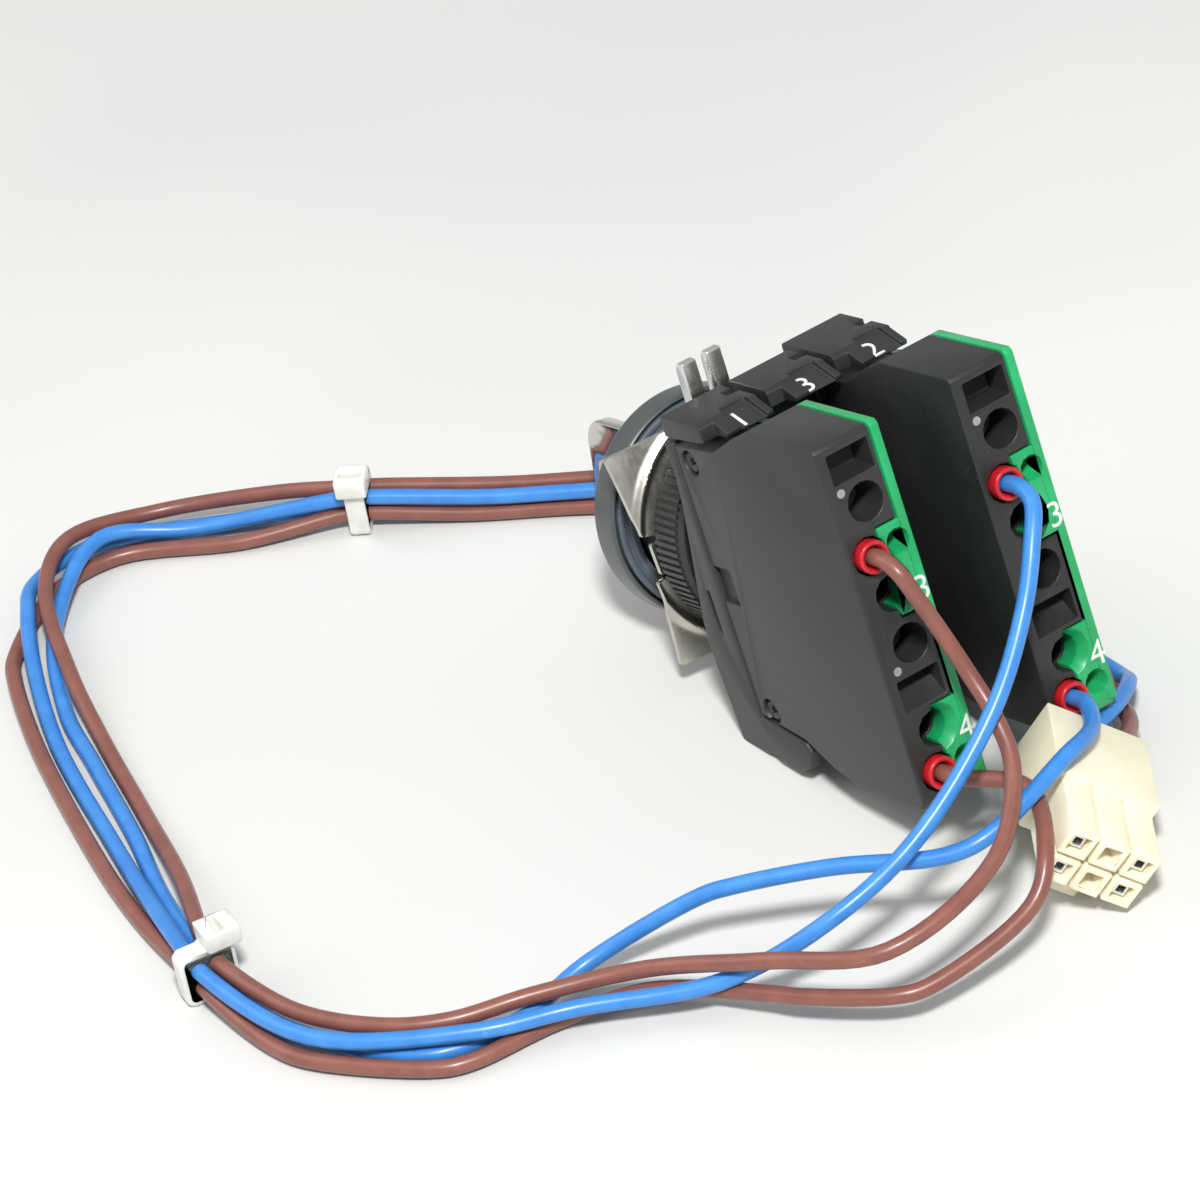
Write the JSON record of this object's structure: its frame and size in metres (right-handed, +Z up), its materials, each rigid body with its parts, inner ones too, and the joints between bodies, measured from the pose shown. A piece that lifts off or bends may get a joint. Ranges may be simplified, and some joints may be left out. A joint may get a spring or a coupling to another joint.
{
  "type": "selector key switch",
  "caption": "Key-operated selector head for a round panel hole with contact blocks clipped behind it, a wired loom with cable ties, and a small plug connector.",
  "frame": {"origin": "centre of the switch's footprint on the table, with the wires and what is on them left out", "axes": "+X from the key towards the terminals, +Y from contact position 1 to position 2, +Z up from the table"},
  "size_m": [0.1626, 0.1191, 0.0559],
  "materials": {
    "bezel": "dark grey satin paint on a die-cast collar",
    "seal": "blue-grey moulded seal",
    "black_plastic": "black glass-filled plastic with a fine matt grain",
    "plated_steel": "zinc-plated sheet steel with faint draw marks",
    "nickel": "polished nickel plate",
    "white_plastic": "natural acetal",
    "green_plastic": "green polycarbonate, light satin",
    "brass": "bright brass strip",
    "spring_steel": "bright spring steel",
    "red_plastic": "red ferrule collar on a tinned tube",
    "blue_insulation": "blue insulation, satin",
    "brown_insulation": "brown insulation, satin",
    "clear_nylon": "natural translucent nylon",
    "ivory_plastic": "ivory nylon, satin",
    "tin": "tin-plated contacts"
  },
  "bodies": {
    "switch_body": {"bezel_collar": "bezel", "front_seal": "seal", "actuator_body": "black_plastic", "pressure_plate": "plated_steel", "ring_nut": "black_plastic", "holder": "black_plastic", "locking_fork": "plated_steel", "block_1_housing": "black_plastic", "block_1_cover": "green_plastic", "block_1_rivet_upper": "black_plastic", "block_1_rivet_lower": "black_plastic", "block_1_terminal_3": "brass", "block_1_terminal_4": "brass", "block_1_clamp_3": "spring_steel", "block_1_clamp_4": "spring_steel", "block_1_spring": "spring_steel", "block_2_housing": "black_plastic", "block_2_cover": "green_plastic", "block_2_rivet_upper": "black_plastic", "block_2_rivet_lower": "black_plastic", "block_2_terminal_3": "brass", "block_2_terminal_4": "brass", "block_2_clamp_3": "spring_steel", "block_2_clamp_4": "spring_steel", "block_2_spring": "spring_steel", "ferrule_blue_a": "red_plastic", "ferrule_blue_b": "red_plastic", "ferrule_brown_a": "red_plastic", "ferrule_brown_b": "red_plastic", "wire_blue_a": "blue_insulation", "wire_blue_b": "blue_insulation", "wire_brown_a": "brown_insulation", "wire_brown_b": "brown_insulation", "cable_tie_near": "clear_nylon", "cable_tie_far": "clear_nylon", "connector_housing": "ivory_plastic", "connector_contact_1": "tin", "connector_contact_2": "tin", "connector_contact_3": "tin", "connector_contact_4": "tin"},
    "lock": {"lock_cylinder": "nickel", "key": "nickel", "cam_disc": "white_plastic"},
    "pusher_1": {"pusher_1": "white_plastic"},
    "pusher_2": {"pusher_2": "white_plastic"},
    "carrier_1": {"block_1_plunger": "white_plastic", "block_1_bridge": "brass"},
    "carrier_2": {"block_2_plunger": "white_plastic", "block_2_bridge": "brass"},
    "latch_1": {"latch_1": "black_plastic"},
    "latch_2": {"latch_2": "black_plastic"},
    "latch_3": {"latch_3": "black_plastic"}
  },
  "joints": [
    {"name": "key_turn", "type": "hinge", "parent": "switch_body", "child": "lock", "pos_m": [-0.01659, 0, 0.01745], "axis": [0.9619, 0, 0.2734], "range_deg": [0, 90]},
    {"name": "pusher_1_slide", "type": "slide", "parent": "switch_body", "child": "pusher_1", "axis": [0.9619, 0, 0.2734], "range_m": [0, 0.0035]},
    {"name": "pusher_2_slide", "type": "slide", "parent": "switch_body", "child": "pusher_2", "axis": [0.9619, 0, 0.2734], "range_m": [0, 0.0035]},
    {"name": "carrier_1_slide", "type": "slide", "parent": "switch_body", "child": "carrier_1", "axis": [0.9619, 0, 0.2734], "range_m": [0, 0.0035], "deforming": ["block_1_spring"]},
    {"name": "carrier_2_slide", "type": "slide", "parent": "switch_body", "child": "carrier_2", "axis": [0.9619, 0, 0.2734], "range_m": [0, 0.0035], "deforming": ["block_2_spring"]},
    {"name": "latch_1_lift", "type": "hinge", "parent": "switch_body", "child": "latch_1", "pos_m": [0.00023, -0.0101, 0.04385], "axis": [0, -1, 0], "range_deg": [0, 12], "stiffness_Nm_per_rad": 0.02},
    {"name": "latch_2_lift", "type": "hinge", "parent": "switch_body", "child": "latch_2", "pos_m": [0.00023, 0.01, 0.04385], "axis": [0, -1, 0], "range_deg": [0, 12], "stiffness_Nm_per_rad": 0.02},
    {"name": "latch_3_lift", "type": "hinge", "parent": "switch_body", "child": "latch_3", "pos_m": [0.00023, 0, 0.04385], "axis": [0, -1, 0], "range_deg": [0, 12], "stiffness_Nm_per_rad": 0.02}
  ],
  "couplings": [
    {"joint": "pusher_1_slide", "follows": "key_turn", "m_per_rad": 0.002228},
    {"joint": "pusher_2_slide", "follows": "key_turn", "m_per_rad": 0.002228},
    {"joint": "carrier_1_slide", "follows": "key_turn", "m_per_rad": 0.002228},
    {"joint": "carrier_2_slide", "follows": "key_turn", "m_per_rad": 0.002228}
  ]
}
